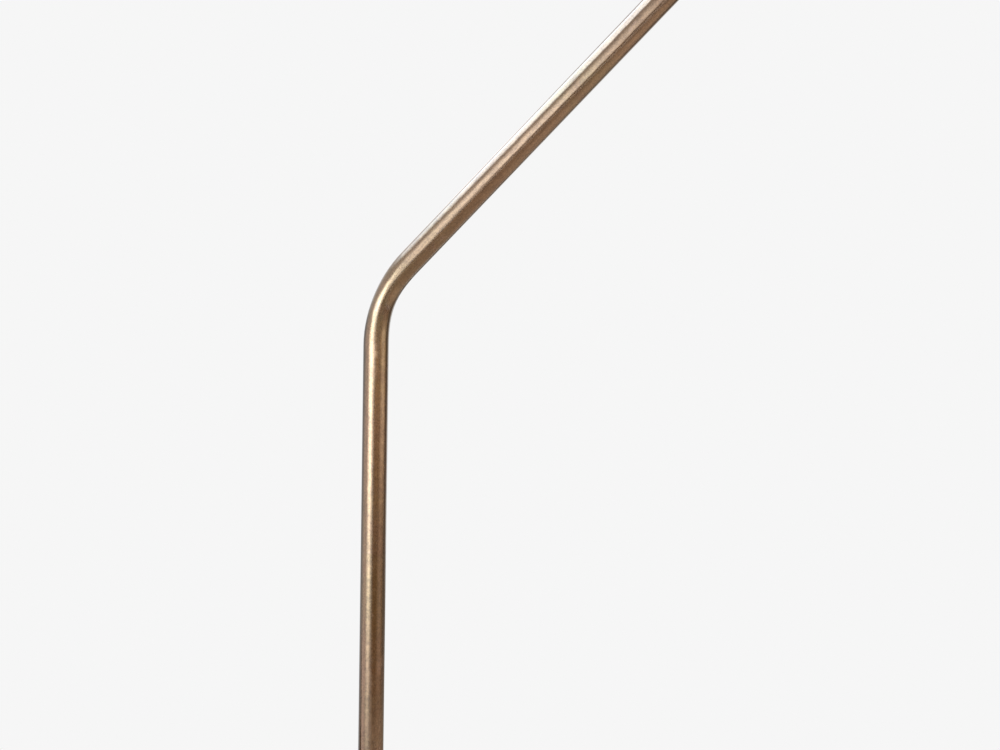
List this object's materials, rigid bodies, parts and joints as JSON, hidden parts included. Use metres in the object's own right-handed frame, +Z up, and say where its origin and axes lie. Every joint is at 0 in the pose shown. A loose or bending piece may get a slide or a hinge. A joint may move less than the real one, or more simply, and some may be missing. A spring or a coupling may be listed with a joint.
{
  "type": "double shade floor lamp",
  "caption": "Aged brass floor lamp with a weighted round base, a swinging bent upper arm, a lower side arm and a tilting dome shade with a rotary switch on each.",
  "frame": {"origin": "centre of the underside of the base, on the floor", "axes": "+Z up; at rest the upper arm leans towards +X and the lower arm towards -X, and the inlet for the lead faces +Y, the back"},
  "size_m": [1.0703, 0.2817, 1.4749],
  "materials": {
    "aged_brass": "satin aged brass with a soft brown patina",
    "cast_iron": "raw casting with black paint",
    "felt": "pressed wool felt",
    "steel_parts": "zinc plated",
    "black_rubber": "matte",
    "lead_sleeve": "matte sleeve over the conductors",
    "nylon": "natural nylon",
    "porcelain": "glazed white",
    "contact_metal": "bright",
    "bulb_cap_metal": "bright",
    "opal_glass": "opal white, unlit",
    "switch_plastic": "moulded"
  },
  "bodies": {
    "stand": {"base_felt": "felt", "base_weight": "cast_iron", "base_cover": "aged_brass", "cord_bush": "black_rubber", "stem_flange": "aged_brass", "stem_nipple": "steel_parts", "base_washer": "steel_parts", "base_nut": "steel_parts", "lower_stem": "aged_brass", "stem_lead": "lead_sleeve", "hub_body": "aged_brass", "swing_screw": "steel_parts", "friction_washers": "nylon", "hub_cap": "aged_brass"},
    "upper_arm": {"upper_journal": "aged_brass", "upper_tube": "aged_brass", "upper_lead": "lead_sleeve", "upper_ferrule": "aged_brass", "upper_swivel_screw": "steel_parts"},
    "lower_arm": {"arm_collar": "aged_brass", "collar_screw": "steel_parts", "lower_tube": "aged_brass", "lower_lead": "lead_sleeve", "lower_ferrule": "aged_brass", "lower_swivel_screw": "steel_parts"},
    "upper_swivel": {"upper_yoke": "aged_brass", "upper_tilt_screw": "aged_brass", "upper_tilt_nut": "aged_brass", "upper_tilt_washers": "nylon"},
    "upper_head": {"upper_knuckle": "aged_brass", "upper_holder_cup": "aged_brass", "upper_lamp_holder": "porcelain", "upper_screw_shell": "contact_metal", "upper_centre_contact": "contact_metal", "upper_shade_ring": "aged_brass", "upper_shade": "aged_brass", "upper_bulb_cap": "bulb_cap_metal", "upper_bulb_glass": "opal_glass", "upper_switch_body": "switch_plastic", "upper_switch_nut": "aged_brass"},
    "upper_knob": {"upper_switch_knob": "aged_brass"},
    "lower_swivel": {"lower_yoke": "aged_brass", "lower_tilt_screw": "aged_brass", "lower_tilt_nut": "aged_brass", "lower_tilt_washers": "nylon"},
    "lower_head": {"lower_knuckle": "aged_brass", "lower_holder_cup": "aged_brass", "lower_lamp_holder": "porcelain", "lower_screw_shell": "contact_metal", "lower_centre_contact": "contact_metal", "lower_shade_ring": "aged_brass", "lower_shade": "aged_brass", "lower_bulb_cap": "bulb_cap_metal", "lower_bulb_glass": "opal_glass", "lower_switch_body": "switch_plastic", "lower_switch_nut": "aged_brass"},
    "lower_knob": {"lower_switch_knob": "aged_brass"}
  },
  "joints": [
    {"name": "upper_swing", "type": "hinge", "parent": "stand", "child": "upper_arm", "pos_m": [0, 0, 0.65], "axis": [0, 0, 1], "range_deg": [-150, 150]},
    {"name": "lower_swing", "type": "hinge", "parent": "stand", "child": "lower_arm", "pos_m": [0, 0, 0.6015], "axis": [0, 0, 1], "range_deg": [-150, 150]},
    {"name": "upper_turn", "type": "hinge", "parent": "upper_arm", "child": "upper_swivel", "pos_m": [0.40588, 0, 1.46588], "axis": [0.7071, 0, 0.7071], "range_deg": [-140, 140]},
    {"name": "upper_tilt", "type": "hinge", "parent": "upper_swivel", "child": "upper_head", "pos_m": [0.40588, 0, 1.46588], "axis": [0, -1, 0], "range_deg": [-18, 95]},
    {"name": "upper_switch", "type": "hinge", "parent": "upper_head", "child": "upper_knob", "pos_m": [0.42366, 0, 1.41701], "axis": [0.9397, 0, 0.342], "continuous": true},
    {"name": "lower_turn", "type": "hinge", "parent": "lower_arm", "child": "lower_swivel", "pos_m": [-0.33739, 0, 0.85889], "axis": [-0.7071, 0, 0.7071], "range_deg": [-140, 140]},
    {"name": "lower_tilt", "type": "hinge", "parent": "lower_swivel", "child": "lower_head", "pos_m": [-0.33739, 0, 0.85889], "axis": [0, 1, 0], "range_deg": [-18, 95]},
    {"name": "lower_switch", "type": "hinge", "parent": "lower_head", "child": "lower_knob", "pos_m": [-0.35517, 0, 0.81002], "axis": [-0.9397, 0, 0.342], "continuous": true}
  ]
}
